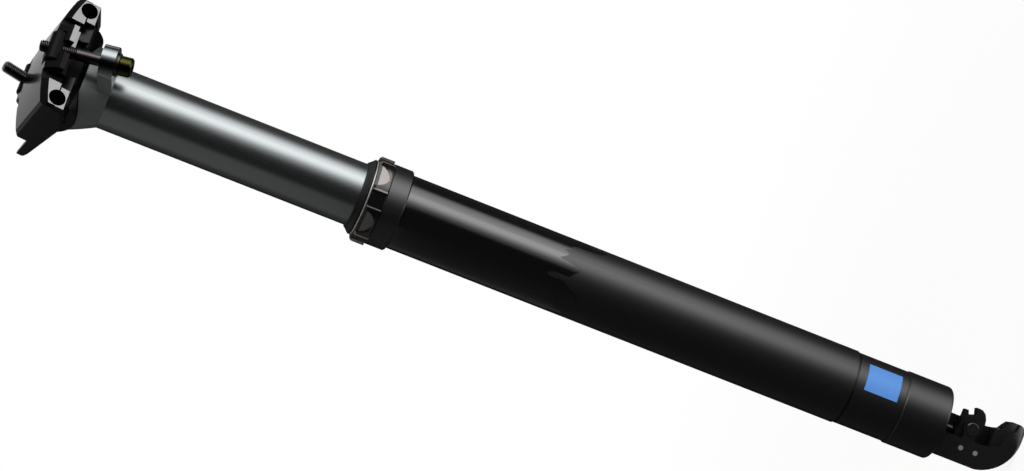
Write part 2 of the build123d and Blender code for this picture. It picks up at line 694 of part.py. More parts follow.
# Barrel nuts: one across each end of the upper clamp, threaded through the middle.
for side, place in ((1, "front"), (-1, "rear")):
    across = Plane(origin=nut_middle(side), x_dir=clamp_x_dir, z_dir=(0, -1, 0))
    with BuildPart() as barrel_nut:
        with BuildSketch(across):
            Circle(barrel_r)
        extrude(amount=barrel_length / 2, both=True)
        chamfer(barrel_nut.edges().filter_by(GeomType.CIRCLE), 0.5)
        with BuildSketch(bolt_plane(side)):
            Circle(bolt_d / 2 + running_fit)
        extrude(amount=barrel_d, both=True, mode=Mode.SUBTRACT)
    keep(barrel_nut.part, f"{place}_barrel_nut")

    # Clamp bolt: a socket head under the lug, and a shank up through the barrel nut.
    seat = bolt_plane(side, seat_below_nut(side))
    with BuildPart() as bolt:
        with BuildSketch(seat):
            Circle(bolt_d / 2)
        extrude(amount=bolt_length)
        chamfer(bolt.edges().sort_by(lambda e: -e.center().Z)[0], 0.6)
        with BuildSketch(bolt_plane(side, seat_below_nut(side) + seat_gap)):
            Circle(bolt_head_d / 2)
        extrude(amount=-bolt_head_height)
        with BuildSketch(seat):
            Circle(bolt_d / 2)
        extrude(amount=-seat_gap)
        rim = bolt.edges().filter_by(GeomType.CIRCLE).sort_by(Axis.Z)[0]
        chamfer(rim, 0.4)
        with BuildSketch(bolt_plane(side, seat_below_nut(side) + seat_gap + bolt_head_height)):
            RegularPolygon(hex_key / 2, 6, major_radius=False)
        extrude(amount=hex_depth, mode=Mode.SUBTRACT)
    keep(bolt.part, f"{place}_bolt")

    # Washer: between the bolt's head and the lug.
    with BuildPart() as washer:
        with BuildSketch(seat):
            Circle(washer_d / 2)
            Circle(bolt_d / 2 + slide_gap, mode=Mode.SUBTRACT)
        extrude(amount=washer_thick)
    keep(washer.part, f"{place}_washer")

pin_places = [(down, pin_across) for down in pin_down]
housing_r = housing_d / 2 + housing_fit
housing_end = Plane(origin=actuator_face.origin + across_dir * cable_across - Vector(0, 0, bracket_length),
                    x_dir=(sin(clock), -cos(clock), 0), z_dir=(0, 0, 1))

# Actuator bracket: a fork of two cheeks under the end cap. Its hooked end stops the cable housing.
with BuildPart() as actuator_bracket:
    with BuildSketch(actuator_face):
        with BuildLine():
            belly = ThreePointArc((16.4, bracket_edge), (27.3, -6.3), (bracket_length, 4.8))
            hook = ThreePointArc((bracket_length, 8.8), (30.6, 10.8), (27.8, 11.8))
            saddle = ThreePointArc((22.3, 7.4), (19.2, 6.5), (15.5, 6.3))
            Line(belly @ 1, hook @ 0)
            Polyline(hook @ 1, (24.9, 11.1), (23.4, 9.2), saddle @ 0)
            Polyline(saddle @ 1, (-bracket_drop, 6.3), (-bracket_drop, bracket_edge), belly @ 0)
        make_face()
    extrude(amount=cheek_outer, both=True)
    with BuildSketch(actuator_face):
        with Locations((fork_depth / 2 - bracket_drop, 0)):
            Rectangle(fork_depth, 3 * bracket_length)
    extrude(amount=fork_gap / 2, both=True, mode=Mode.SUBTRACT)
    with BuildSketch(actuator_face):
        with Locations(*pin_places):
            Circle(pin_d / 2)
        with Locations((pivot_down, pivot_across)):
            Circle(pivot_d / 2)
    extrude(amount=cheek_outer, both=True, mode=Mode.SUBTRACT)
    with BuildSketch(actuator_face.offset(fork_gap / 2)):
        with BuildLine():
            Polyline((-bracket_drop, -2.0), (16.2, -1.8), (20.5, -0.9), (23.8, 0.2), (24.3, 3.2),
                     (25.8, 6.4), (28.1, 8.7), (29.0, 14.0), (-bracket_drop, 14.0), close=True)
        make_face()
        with Locations((pivot_down, pivot_across)):
            Circle(boss_d / 2 + boss_web, mode=Mode.SUBTRACT)
        with Locations((pivot_down, 0)):
            Rectangle(boss_d, 2 * pivot_across, mode=Mode.SUBTRACT)
    extrude(amount=cheek_thick, mode=Mode.SUBTRACT)
    with BuildSketch(housing_end):
        Circle(housing_r)
    extrude(amount=housing_depth, mode=Mode.SUBTRACT)
    with BuildSketch(housing_end):
        Circle(cable_d / 2 + slide_gap)
        with Locations((0, cable_way / 2)):
            Rectangle(cable_d, cable_way)
    extrude(amount=bracket_length, mode=Mode.SUBTRACT)
keep(actuator_bracket.part, "actuator_bracket")

# Bracket pins: two bright dowels through both cheeks and the end cap's tang.
with BuildPart() as bracket_pins:
    with BuildSketch(actuator_face):
        with Locations(*pin_places):
            Circle(pin_d / 2)
    extrude(amount=cheek_outer, both=True)
keep(bracket_pins.part, "bracket_pins")

# Pivot pin: carries the lever, with a round head on one cheek.
with BuildPart() as pivot_pin:
    with BuildSketch(actuator_face):
        with Locations((pivot_down, pivot_across)):
            Circle(pivot_d / 2)
    extrude(amount=cheek_outer, both=True)
    with BuildSketch(actuator_face.offset(cheek_outer)):
        with Locations((pivot_down, pivot_across)):
            Circle(boss_d / 2)
    extrude(amount=pin_head)
    chamfer(pivot_pin.edges().group_by(Axis(actuator_face.origin, actuator_face.z_dir))[-1], 0.3)
keep(pivot_pin.part, "pivot_pin")

# Release lever: the cable pulls its forked top, and its round nose lifts the valve rod.
nose_down = cap_bottom - bracket_drop - valve_tip + slide_gap + nose_r
with BuildPart() as release_lever:
    with BuildSketch(actuator_face):
        with BuildLine():
            Polyline((4.4, 2.2), (5.2, 7.4), (5.1, 9.5), (6.2, 9.9), (7.1, 7.7), (10.4, 8.9),
                     (9.6, 11.5), (10.6, 12.0), (12.0, 11.8), (13.6, 10.7), (14.7, 8.6), (15.2, 5.8),
                     (14.4, 2.4), (12.2, -0.2), (8.0, -0.6), close=True)
        make_face()
        with Locations((nose_down, 0)):
            Circle(nose_r)
        with Locations((pivot_down, pivot_across)):
            Circle(pivot_d / 2 + running_fit, mode=Mode.SUBTRACT)
    extrude(amount=lever_thick / 2, both=True)
    with BuildSketch(actuator_face):
        with Locations((lever_slot_down / 2, lever_slot_across + bracket_edge / -2)):
            Rectangle(lever_slot_down, -bracket_edge)
    extrude(amount=cable_d / 2 + 0.1, both=True, mode=Mode.SUBTRACT)
keep(release_lever.part, "release_lever")
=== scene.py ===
import bpy
import bmesh
import math
from mathutils import Matrix, Vector


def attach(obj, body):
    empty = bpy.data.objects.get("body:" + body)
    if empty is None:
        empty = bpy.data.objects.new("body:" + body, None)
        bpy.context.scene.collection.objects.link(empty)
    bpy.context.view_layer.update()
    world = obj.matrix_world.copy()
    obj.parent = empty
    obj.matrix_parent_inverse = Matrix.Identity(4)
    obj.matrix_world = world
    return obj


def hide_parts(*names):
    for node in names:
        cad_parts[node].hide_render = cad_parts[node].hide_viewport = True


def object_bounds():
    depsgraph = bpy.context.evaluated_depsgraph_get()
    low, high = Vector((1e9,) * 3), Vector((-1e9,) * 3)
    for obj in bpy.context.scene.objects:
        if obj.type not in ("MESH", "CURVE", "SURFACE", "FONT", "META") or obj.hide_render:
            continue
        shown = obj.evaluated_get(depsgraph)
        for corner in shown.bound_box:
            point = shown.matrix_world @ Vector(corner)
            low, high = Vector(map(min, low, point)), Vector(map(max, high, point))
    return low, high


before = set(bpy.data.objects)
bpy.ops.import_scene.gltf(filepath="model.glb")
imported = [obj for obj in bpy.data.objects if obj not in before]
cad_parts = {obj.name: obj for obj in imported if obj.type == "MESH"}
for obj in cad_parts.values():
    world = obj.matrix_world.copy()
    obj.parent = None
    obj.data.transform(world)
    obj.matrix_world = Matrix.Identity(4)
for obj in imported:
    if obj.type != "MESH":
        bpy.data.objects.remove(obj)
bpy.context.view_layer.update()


# Outer tube: drawn aluminium, fine blasted and black anodised. Its upper third carries a clear
# gloss lacquer, sprayed through a stencil, so the gloss ends in a ragged edge. The collar, the
# bushing and the foot are all fixed to it.
def linear(code):
    """Linear colour of an sRGB hex value."""
    parts = [int(code[i:i + 2], 16) / 255 for i in (1, 3, 5)]
    return [p / 12.92 if p <= 0.04045 else ((p + 0.055) / 1.055) ** 2.4 for p in parts] + [1.0]


def add(material, kind, settings, inputs):
    """Add a node to a material. An input is a value, or the output that it is linked to."""
    node = material.node_tree.nodes.new(kind)
    for name, value in settings.items():
        setattr(node, name, value)
    for name, value in inputs.items():
        if isinstance(value, bpy.types.NodeSocket):
            material.node_tree.links.new(value, node.inputs[name])
        else:
            node.inputs[name].default_value = value
    return node


def finish(name, inputs):
    """A new material, with these inputs of its surface shader set."""
    material = bpy.data.materials.new(name)
    material.use_nodes = True
    surface = material.node_tree.nodes["Principled BSDF"]
    for socket, value in inputs.items():
        surface.inputs[socket].default_value = value
    return material


def feed(material, socket, output):
    """Link an output to an input of the material's surface shader."""
    surface = material.node_tree.nodes["Principled BSDF"]
    material.node_tree.links.new(output, surface.inputs[socket])


def grain(material, pitch, depth, strength, stretch=(1, 1, 1)):
    """Fine relief all over a finish: pitch and depth in metres. Returns the noise."""
    place = add(material, "ShaderNodeTexCoord", {}, {}).outputs["Object"]
    spread = add(material, "ShaderNodeMapping", {}, {"Vector": place, "Scale": stretch})
    noise = add(material, "ShaderNodeTexNoise", {},
                {"Vector": spread.outputs["Vector"], "Scale": 1 / pitch, "Detail": 2.0})
    relief = add(material, "ShaderNodeBump", {},
                 {"Height": noise.outputs["Fac"], "Distance": depth, "Strength": strength})
    feed(material, "Normal", relief.outputs["Normal"])
    return noise.outputs["Fac"]


def dress(name, material, edge=0.0):
    """Give a CAD node its finish, and break its edges by so many metres."""
    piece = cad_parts[name]
    for slot in piece.material_slots:
        slot.material = material
    if edge:
        broken = piece.modifiers.new("broken edges", "BEVEL")
        broken.width = edge
        broken.segments = 3
        broken.limit_method = "ANGLE"
        broken.angle_limit = math.radians(28)
        broken.harden_normals = True
    return piece


# Anodised aluminium, blasted: a black dye under a clear film of aluminium oxide, so a dull sheen
# with no mirror image. The grit leaves pits near 0.1 mm, drawn at 0.5 mm so that they show.
matt, gloss = 0.4, 0.15
tube_finish = finish("blasted black anodised aluminium", {
    "Base Color": linear("#070707"), "Roughness": matt, "IOR": 1.76})
grain(tube_finish, pitch=0.0005, depth=0.00002, strength=0.35)
# The lacquer has a hard, wet shine. Its edge lies about 60 to 80 mm below the collar, ragged with
# flakes 6 mm wide and three times as long down the tube.
flake_width, flake_stretch, flake_drop = 0.006, 0.35, 0.055
lacquer_foot, lacquer_full = -0.0440, -0.0425
tube_place = add(tube_finish, "ShaderNodeTexCoord", {}, {})
height = add(tube_finish, "ShaderNodeSeparateXYZ", {}, {"Vector": tube_place.outputs["Object"]})
lengthened = add(tube_finish, "ShaderNodeMapping", {}, {
    "Vector": tube_place.outputs["Object"], "Scale": (1, 1, flake_stretch)})
flakes = add(tube_finish, "ShaderNodeTexNoise", {}, {
    "Vector": lengthened.outputs["Vector"], "Scale": 1 / flake_width, "Detail": 1.0})
ragged = add(tube_finish, "ShaderNodeMath", {"operation": "MULTIPLY_ADD"}, {
    0: flakes.outputs["Fac"], 1: flake_drop, 2: height.outputs["Z"]})
lacquer = add(tube_finish, "ShaderNodeMapRange", {}, {
    "Value": ragged.outputs["Value"], "From Min": lacquer_foot, "From Max": lacquer_full})
polish = add(tube_finish, "ShaderNodeMapRange", {}, {
    "Value": lacquer.outputs["Result"], "To Min": matt, "To Max": gloss})
feed(tube_finish, "Coat Weight", lacquer.outputs["Result"])
feed(tube_finish, "Roughness", polish.outputs["Result"])
dress("outer_tube", tube_finish)

# Upper bushing and foam ring: a slide bush of filled plastic pressed into the tube, and a ring of
# oiled foam on top of it that keeps the stanchion wet. Both are hidden by the collar nut.
# The plastic is a dull grey green, and the foam is drab and full of holes, with hardly a shine.
bush_finish = finish("bronze-filled PTFE", {
    "Base Color": linear("#5d6350"), "Roughness": 0.55, "IOR": 1.35})
grain(bush_finish, pitch=0.0006, depth=0.00002, strength=0.4)
dress("upper_bushing", bush_finish)
foam_finish = finish("oiled open-cell foam", {
    "Base Color": linear("#77736a"), "Roughness": 0.85, "IOR": 1.4})
grain(foam_finish, pitch=0.0008, depth=0.0003, strength=0.8)
dress("foam_ring", foam_finish)

# Collar: a turned aluminium ring, black anodised, bonded round the tube's spigot. Its side keeps
# the fine lathe marks, so its sheen is a soft upright band.
turned_finish = finish("turned black anodised aluminium", {
    "Base Color": linear("#070707"), "Roughness": 0.36, "IOR": 1.8})
grain(turned_finish, pitch=0.00035, depth=0.00001, strength=0.5, stretch=(0.05, 0.05, 1))
dress("collar", turned_finish, edge=0.0003)

# Collar nut: a low ring screwed on the spigot to clamp the wiper, gloss black anodised. Its five
# sunk flats are cut after anodising, so they are bare metal, which stands out pale and bright from
# the black. Thin pale metal strips beside its spanner slots are a painted highlight, in place of
# the gleam of the slots' edges.
nut_black, bare_metal_and_gleam = linear("#060606"), linear("#9a9491")
polished, bright_rough = 0.2, 0.27
nut_finish = finish("gloss black anodising, bare flats and painted edge gleam", {
    "Base Color": nut_black, "Roughness": polished, "IOR": 1.76})
grain(nut_finish, pitch=0.0008, depth=0.00001, strength=0.4)
nut_place = add(nut_finish, "ShaderNodeTexCoord", {}, {})
point = add(nut_finish, "ShaderNodeSeparateXYZ", {}, {"Vector": nut_place.outputs["Object"]})
bearing = add(nut_finish, "ShaderNodeMath", {"operation": "ARCTAN2"}, {
    0: point.outputs["Y"], 1: point.outputs["X"]})
level = add(nut_finish, "ShaderNodeCombineXYZ", {}, {
    "X": point.outputs["X"], "Y": point.outputs["Y"]})
outward = add(nut_finish, "ShaderNodeVectorMath", {"operation": "LENGTH"}, {0: level.outputs[0]})
# The first flat is 7 degrees from +X, and this is the angle from the middle of the nearest one.
first_flat, between_flats = math.radians(7), math.radians(72)
from_first = add(nut_finish, "ShaderNodeMath", {"operation": "SUBTRACT"}, {
    0: bearing.outputs[0], 1: first_flat})
off_flat = add(nut_finish, "ShaderNodeMath", {"operation": "PINGPONG"}, {
    0: from_first.outputs[0], 1: between_flats / 2})
# The flats lie 16.8 mm from the axis, under the nut's top face.
flat_reach, flat_top, flat_slack = 0.0168, 0.0139, 0.00012
squareness = add(nut_finish, "ShaderNodeMath", {"operation": "COSINE"}, {0: off_flat.outputs[0]})
reach = add(nut_finish, "ShaderNodeMath", {"operation": "MULTIPLY"}, {
    0: outward.outputs["Value"], 1: squareness.outputs[0]})
in_flat = add(nut_finish, "ShaderNodeMath", {"operation": "COMPARE"}, {
    0: reach.outputs[0], 1: flat_reach, 2: flat_slack})
below_top = add(nut_finish, "ShaderNodeMath", {"operation": "LESS_THAN"}, {
    0: point.outputs["Z"], 1: flat_top})
sunk = add(nut_finish, "ShaderNodeMath", {"operation": "MULTIPLY"}, {
    0: in_flat.outputs[0], 1: below_top.outputs[0]})
# The slots' edges are 24.6 degrees from a flat's middle. Beside them a strip 0.4 mm wide is
# painted pale metal, half as metallic as the flats: a painted highlight for the slots' edges.
highlight_middle, half_highlight, rim_reach = math.radians(24.2), math.radians(0.9), 0.0174
by_slot = add(nut_finish, "ShaderNodeMath", {"operation": "COMPARE"}, {
    0: off_flat.outputs[0], 1: highlight_middle, 2: half_highlight})
on_rim = add(nut_finish, "ShaderNodeMath", {"operation": "GREATER_THAN"}, {
    0: outward.outputs["Value"], 1: rim_reach})
slot_edge_highlight = add(nut_finish, "ShaderNodeMath", {"operation": "MULTIPLY"}, {
    0: by_slot.outputs[0], 1: on_rim.outputs[0]})
# The bare flats, and the painted highlight strips beside the slots.
flats_and_gleam = add(nut_finish, "ShaderNodeMath", {"operation": "MAXIMUM"}, {
    0: sunk.outputs[0], 1: slot_edge_highlight.outputs[0]})
# Sockets 6 and 7 of a mix node are its two colours, and its output 2 is the mixed one.
nut_colour = add(nut_finish, "ShaderNodeMix", {"data_type": "RGBA"}, {
    "Factor": flats_and_gleam.outputs[0], 6: nut_black, 7: bare_metal_and_gleam})
metal_share = add(nut_finish, "ShaderNodeMath", {"operation": "MULTIPLY_ADD"}, {
    0: slot_edge_highlight.outputs[0], 1: -0.5, 2: flats_and_gleam.outputs[0]})
nut_rough = add(nut_finish, "ShaderNodeMapRange", {}, {
    "Value": flats_and_gleam.outputs[0], "To Min": polished, "To Max": bright_rough})
feed(nut_finish, "Base Color", nut_colour.outputs[2])
feed(nut_finish, "Metallic", metal_share.outputs[0])
feed(nut_finish, "Roughness", nut_rough.outputs["Result"])
dress("collar_nut", nut_finish, edge=0.0002)

# Wiper: a black nitrile rubber lip that cleans the stanchion, held by a garter ring of bright
# steel wire round its foot. The rubber is dull and drinks light, and the drawn wire has a broad
# pale gleam all round.
rubber_finish = finish("moulded nitrile rubber", {
    "Base Color": linear("#050606"), "Roughness": 0.55, "IOR": 1.35})
grain(rubber_finish, pitch=0.0007, depth=0.00003, strength=0.5)
dress("wiper_seal", rubber_finish, edge=0.0003)
wire_finish = finish("drawn stainless wire", {
    "Base Color": linear("#d8d2ca"), "Metallic": 0.6, "Roughness": 0.45})
grain(wire_finish, pitch=0.0005, depth=0.00001, strength=0.3)
dress("wiper_ring", wire_finish)

# Foot sleeve: a short turned sleeve pressed up the tube's bore, in the same blasted finish as the
# tube. A blue vinyl label is stuck round its near side. Its ink is a little uneven, and its skin
# of clear film gives it a weak, broad sheen.
dress("foot_sleeve", tube_finish, edge=0.0002)
label_finish = finish("blue printed vinyl", {
    "Base Color": linear("#4f8fd6"), "Roughness": 0.45, "IOR": 1.48, "Coat Weight": 0.15,
    "Coat Roughness": 0.3})
mottle = grain(label_finish, pitch=0.0005, depth=0.00001, strength=0.3)
ink = add(label_finish, "ShaderNodeMix", {"data_type": "RGBA"}, {
    "Factor": mottle, 6: linear("#3f80d2"), 7: linear("#5c98e0")})
feed(label_finish, "Base Color", ink.outputs[2])
dress("foot_label", label_finish)

# End cap: turned from bar with a rounded lower edge, screwed into the sleeve. It carries the
# cartridge rod and the actuator bracket.
dress("end_cap", tube_finish, edge=0.0003)

# Anti-rotation keys and lower bushing: three brass keys in pockets of the stanchion, and the
# split slide bush under them. They run inside the outer tube. The brass is a warm, bright yellow
# that the cutter has left in fine lines down the keys.
brass_finish = finish("machined brass", {
    "Base Color": linear("#c9a45c"), "Metallic": 1.0, "Roughness": 0.28})
grain(brass_finish, pitch=0.0006, depth=0.00001, strength=0.4, stretch=(1, 1, 0.1))
dress("anti_rotation_keys", brass_finish, edge=0.0002)
dress("lower_bushing", bush_finish)

# Gas cartridge: a clear anodised aluminium cylinder with its caps, inside the stanchion. Its rod
# is fixed to the foot, and the valve rod runs down the middle of it. The cylinder has the silky
# silver of turned aluminium, and the chromed rod is close to a mirror.
cartridge_finish = finish("clear anodised aluminium", {
    "Base Color": linear("#b4b6b8"), "Metallic": 1.0, "Roughness": 0.35})
grain(cartridge_finish, pitch=0.0004, depth=0.00001, strength=0.4, stretch=(0.05, 0.05, 1))
for name in ("cartridge_cylinder", "cartridge_top_cap", "seal_head", "end_nut", "piston",
             "floating_piston"):
    dress(name, cartridge_finish)
chrome_finish = finish("ground and chromed steel rod", {
    "Base Color": linear("#c8cacc"), "Metallic": 1.0, "Roughness": 0.12})
grain(chrome_finish, pitch=0.0003, depth=0.000005, strength=0.3, stretch=(1, 1, 6))
dress("cartridge_rod", chrome_finish)
for name in ("piston_seal", "rod_seal", "floating_piston_seal", "top_out_bumper"):
    dress(name, rubber_finish)

# Stanchion: the polished upper tube, hard anodised a dark gunmetal grey and then honed, which
# leaves faint marks across it. It mirrors the room as soft bands down its length.
stanchion_finish = finish("honed gunmetal hard anodising", {
    "Base Color": linear("#9da1a2"), "Metallic": 1.0, "Roughness": 0.28})
grain(stanchion_finish, pitch=0.0010, depth=0.00001, strength=0.25, stretch=(0.3, 0.3, 3))
dress("stanchion", stanchion_finish)

# Head: forged aluminium bonded in the top of the stanchion, tumbled and black anodised to a satin
# charcoal. Its lugs take the bolts at the front and rear, and their round ends are burnished, so
# they gleam like grey metal.
charcoal, burnished = linear("#3a3f3d"), linear("#8c9294")
tumbled_rough, burnished_rough = 0.32, 0.16
forged_finish = finish("satin black anodised forging", {"IOR": 1.8})
head_place = add(forged_finish, "ShaderNodeTexCoord", {}, {})
lengths = add(forged_finish, "ShaderNodeSeparateXYZ", {}, {"Vector": head_place.outputs["Object"]})
# The lugs' round ends start 19.5 mm from the head's middle, which is 3.6 mm ahead of the axis.
head_middle, burnish_start, burnish_full = 0.0036, 0.0195, 0.021
from_middle = add(forged_finish, "ShaderNodeMath", {"operation": "SUBTRACT"}, {
    0: lengths.outputs["X"], 1: head_middle})
lug_reach = add(forged_finish, "ShaderNodeMath", {"operation": "ABSOLUTE"}, {
    0: from_middle.outputs[0]})
burnish = add(forged_finish, "ShaderNodeMapRange", {}, {
    "Value": lug_reach.outputs[0], "From Min": burnish_start, "From Max": burnish_full})
head_colour = add(forged_finish, "ShaderNodeMix", {"data_type": "RGBA"}, {
    "Factor": burnish.outputs["Result"], 6: charcoal, 7: burnished})
head_rough = add(forged_finish, "ShaderNodeMapRange", {}, {
    "Value": burnish.outputs["Result"], "To Min": tumbled_rough, "To Max": burnished_rough})
feed(forged_finish, "Metallic", burnish.outputs["Result"])
feed(forged_finish, "Base Color", head_colour.outputs[2])
feed(forged_finish, "Roughness", head_rough.outputs["Result"])
grain(forged_finish, pitch=0.0009, depth=0.00002, strength=0.35)
dress("head", forged_finish, edge=0.0007)

# Clamp: the lower cradle rocks on the head and carries the saddle's rails, and the arched upper
# clamp holds them down. Both are forged and anodised gloss black. The end faces round the rails
# are milled after anodising, so they are bare, pale and dull there, but one half of a narrow strip
# beside each barrel nut is kept black, a painted shade from the bolt.
clamp_black = linear("#070607")
smooth, skin_rough, milled_rough = 0.2, 0.75, 0.4
clamp_finish = finish("gloss black anodising with milled ends", {
    "Base Color": clamp_black, "Roughness": smooth, "IOR": 1.3})
grain(clamp_finish, pitch=0.0015, depth=0.00001, strength=0.35)
clamp_place = add(clamp_finish, "ShaderNodeTexCoord", {}, {})
# The clamp's own lengthwise axis leans 9 degrees nose down.
clamp_lean = math.radians(9)
lengthwise = (math.cos(clamp_lean), 0, -math.sin(clamp_lean))
# A face counts as upright within 8 degrees, and not at all past 18.
facing = add(clamp_finish, "ShaderNodeVectorMath", {"operation": "DOT_PRODUCT"}, {
    0: clamp_place.outputs["Normal"], 1: lengthwise})
either_way = add(clamp_finish, "ShaderNodeMath", {"operation": "ABSOLUTE"}, {
    0: facing.outputs["Value"]})
upright = add(clamp_finish, "ShaderNodeMapRange", {}, {
    "Value": either_way.outputs[0], "From Min": math.cos(math.radians(18)),
    "From Max": math.cos(math.radians(8))})
# Only the end faces are milled, not the recesses 3 mm behind them.
clamp_middle, milled_reach = -0.01914, 0.0155
along = add(clamp_finish, "ShaderNodeVectorMath", {"operation": "DOT_PRODUCT"}, {
    0: clamp_place.outputs["Object"], 1: lengthwise})
off_middle = add(clamp_finish, "ShaderNodeMath", {"operation": "SUBTRACT"}, {
    0: along.outputs["Value"], 1: clamp_middle})
distance = add(clamp_finish, "ShaderNodeMath", {"operation": "ABSOLUTE"}, {
    0: off_middle.outputs[0]})
outermost = add(clamp_finish, "ShaderNodeMath", {"operation": "GREATER_THAN"}, {
    0: distance.outputs[0], 1: milled_reach})
ends = add(clamp_finish, "ShaderNodeMath", {"operation": "MULTIPLY"}, {
    0: upright.outputs["Result"], 1: outermost.outputs[0]})
# One half of the narrow strip beside each barrel nut is kept black: painted shade where the bolt
# shadows it.
shade_middle, half_shade = -0.0073, 0.0078
across = add(clamp_finish, "ShaderNodeSeparateXYZ", {}, {"Vector": clamp_place.outputs["Object"]})
painted_bolt_shade = add(clamp_finish, "ShaderNodeMath", {"operation": "COMPARE"}, {
    0: across.outputs["Y"], 1: shade_middle, 2: half_shade})
ends_outside_shade = add(clamp_finish, "ShaderNodeMath", {"operation": "SUBTRACT"}, {
    0: ends.outputs[0], 1: painted_bolt_shade.outputs[0]})
# The milled ends, less the painted shade.
milled_unshaded = add(clamp_finish, "ShaderNodeMath", {"operation": "GREATER_THAN"}, {
    0: ends_outside_shade.outputs[0], 1: 0.5})
# The cutter's marks are about 0.5 mm apart.
mark_spacing = 0.0005
marks = add(clamp_finish, "ShaderNodeTexNoise", {}, {
    "Vector": clamp_place.outputs["Object"], "Scale": 1 / mark_spacing, "Detail": 2.0})
bare = add(clamp_finish, "ShaderNodeMix", {"data_type": "RGBA"}, {
    "Factor": marks.outputs["Fac"], 6: linear("#727272"), 7: linear("#929292")})
clamp_colour = add(clamp_finish, "ShaderNodeMix", {"data_type": "RGBA"}, {
    "Factor": milled_unshaded.outputs[0], 6: clamp_black, 7: bare.outputs[2]})
# The upright faces keep the dull forging skin, and the rest is polished.
skin = add(clamp_finish, "ShaderNodeMapRange", {}, {
    "Value": upright.outputs["Result"], "To Min": smooth, "To Max": skin_rough})
clamp_rough = add(clamp_finish, "ShaderNodeMath", {"operation": "MULTIPLY_ADD"}, {
    0: milled_unshaded.outputs[0], 1: milled_rough - skin_rough, 2: skin.outputs["Result"]})
feed(clamp_finish, "Base Color", clamp_colour.outputs[2])
feed(clamp_finish, "Metallic", milled_unshaded.outputs[0])
feed(clamp_finish, "Roughness", clamp_rough.outputs[0])
dress("lower_cradle", clamp_finish, edge=0.0004)
dress("upper_clamp", clamp_finish, edge=0.0004)

# Clamp bolts: M5 cap screws pushed up through washers and the head's lugs, with rolled threads and
# a socket for a 4 mm key. The tips stand above the barrel nuts. The shanks are blacked and oiled,
# so they are dark with a wet gleam. The heads have an olive passivation, a dark green mirror.
blacked_finish = finish("blacked and oiled steel", {
    "Base Color": linear("#352f31"), "Metallic": 1.0, "Roughness": 0.34, "Coat Weight": 0.9,
    "Coat Roughness": 0.08})
grain(blacked_finish, pitch=0.0006, depth=0.00001, strength=0.3)
olive_finish = finish("olive passivated zinc plating", {
    "Base Color": linear("#3e3d1d"), "Metallic": 1.0, "Roughness": 0.15})
grain(olive_finish, pitch=0.0006, depth=0.00002, strength=0.4)

# The thread's flanks would meet at 1.3 times its height, so its crests are flat.
shank_length, bolt_radius, root_radius = 0.033, 0.0025, 0.00205
thread_pitch, cuts_per_turn, facets, flank_meeting = 0.0008, 8, 40, 1.3
tip_taper, tip_share = 0.0008, 0.8
head_height, head_radius, head_edge = 0.0052, 0.0041, 0.0006
socket_radius, socket_depth, under_head = 0.0023, 0.0026, -0.0001
# The head's rings, from inside the shank, out over the rim and down to the mouth of the socket.
head_outline = ((0.0, 0.0019), (0.0, 0.0038), (-0.0003, head_radius),
                (head_edge - head_height, head_radius), (-head_height, head_radius - head_edge),
                (-head_height, 0.0024))


def thread(height, plain):
    """Radii round the shank at a height: a plain length, a thread above it and a tapered tip."""
    narrow = tip_share + (1 - tip_share) * min(1.0, (shank_length - height) / tip_taper)
    fill = max(0.0, plain - height) / thread_pitch
    radii = []
    for k in range(facets):
        turn = (height / thread_pitch - k / facets) % 1.0
        crest = min(1.0, abs(2 * turn - 1) * flank_meeting + fill)
        radii.append((root_radius + (bolt_radius - root_radius) * crest) * narrow)
    return radii


def ring(mesh, height, radii):
    """Corners round the Z axis at a height, one for each radius."""
    angles = [2 * math.pi * k / len(radii) for k in range(len(radii))]
    return [mesh.verts.new((radius * math.cos(angle), radius * math.sin(angle), height))
            for radius, angle in zip(radii, angles)]


def wall(mesh, rings, rising=True):
    """The faces between each ring of corners and the next, outwards whether they rise or fall."""
    for first, second in zip(rings, rings[1:]):
        for k in range(len(first)):
            beside = (k + 1) % len(first)
            if rising:
                mesh.faces.new((first[k], first[beside], second[beside], second[k]))
            else:
                mesh.faces.new((first[k], second[k], second[beside], first[beside]))


def put(name, data):
    """A new object in the scene."""
    thing = bpy.data.objects.new(name, data)
    bpy.context.collection.objects.link(thing)
    return thing


def screw(name, node, seat, lean, plain):
    """A cap screw in place of a CAD bolt: the middle of its head's upper face, how far it leans
    from upright in radians, and how much of its shank is plain."""
    mesh = bmesh.new()
    rows = int(shank_length / thread_pitch * cuts_per_turn)
    heights = [shank_length * row / rows for row in range(rows + 1)]
    shank = [ring(mesh, height, thread(height, plain)) for height in heights]
    wall(mesh, shank)
    mesh.faces.new(shank[-1])
    head = [ring(mesh, height, [radius] * facets) for height, radius in head_outline]
    wall(mesh, head, rising=False)
    socket = [ring(mesh, height, [socket_radius] * 6)
              for height in (-head_height, socket_depth - head_height)]
    wall(mesh, socket, rising=False)
    mesh.faces.new(socket[1])
    mouth = [mesh.edges.get((loop[k], loop[(k + 1) % len(loop)]))
             for loop in (head[-1], socket[0]) for k in range(len(loop))]
    bmesh.ops.bridge_loops(mesh, edges=mouth)
    bmesh.ops.recalc_face_normals(mesh, faces=mesh.faces)
    for face in mesh.faces:
        face.smooth = True
        face.material_index = int(face.calc_center_median().z < under_head)

    mesh.transform(Matrix.Translation(seat) @ Matrix.Rotation(lean, 4, "Y"))
    data = bpy.data.meshes.new(name)
    data.materials.append(blacked_finish)
    data.materials.append(olive_finish)
    mesh.to_mesh(data)
    mesh.free()
    data.set_sharp_from_angle(angle=math.radians(40))
    piece = put(name, data)
    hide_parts(node)
    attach(piece, node)


# Each seat is the middle of its washer's lower face. The front one lies 0.02 mm below it.
front_seat, rear_seat = Vector((0.0246184, 0, 0.1280284)), Vector((-0.0173444, 0, 0.1390776))
screw("front_clamp_bolt", "front_bolt", front_seat, lean=-math.radians(12.9), plain=0.018)
screw("rear_clamp_bolt", "rear_bolt", rear_seat, lean=math.radians(19.2), plain=0.015)

